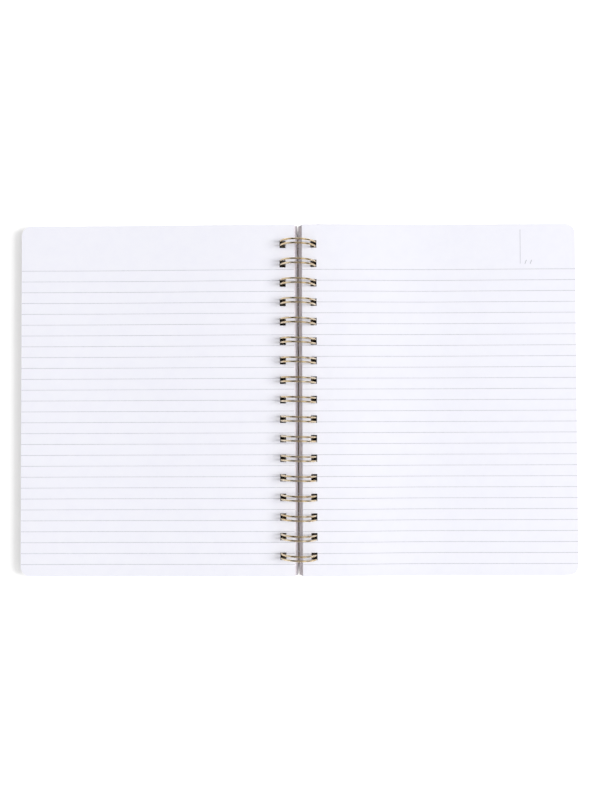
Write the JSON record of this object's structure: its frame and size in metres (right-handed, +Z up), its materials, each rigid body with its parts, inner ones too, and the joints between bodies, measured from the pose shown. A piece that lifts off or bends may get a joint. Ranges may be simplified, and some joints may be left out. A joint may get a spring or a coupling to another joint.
{
  "type": "open spiral notebook",
  "caption": "Ruled notebook lying open on a twin-loop wire, with two card covers and a stack of punched sheets on each side.",
  "frame": {"origin": "on the table, under the middle of the wire and midway along the spine", "axes": "+X to the right-hand page, +Y to the head of the pages along the spine, +Z up from the table"},
  "size_m": [0.3626, 0.2294, 0.0238],
  "materials": {
    "cover_card": "matte",
    "writing_paper": "matte",
    "gold_wire": "satin"
  },
  "bodies": {
    "back_half": {"back_cover": "cover_card", "right_pages": "writing_paper"},
    "front_half": {"front_cover": "cover_card", "left_pages": "writing_paper"},
    "wire": {"binding_wire": "gold_wire"}
  },
  "joints": [
    {"name": "front_turn", "type": "hinge", "parent": "back_half", "child": "front_half", "pos_m": [0, 0, 0.01207], "axis": [0, 1, 0], "range_deg": [0, 181]},
    {"name": "wire_turn", "type": "hinge", "parent": "back_half", "child": "wire", "pos_m": [0, 0, 0.01207], "axis": [0, 1, 0], "range_deg": [-20, 30]}
  ]
}
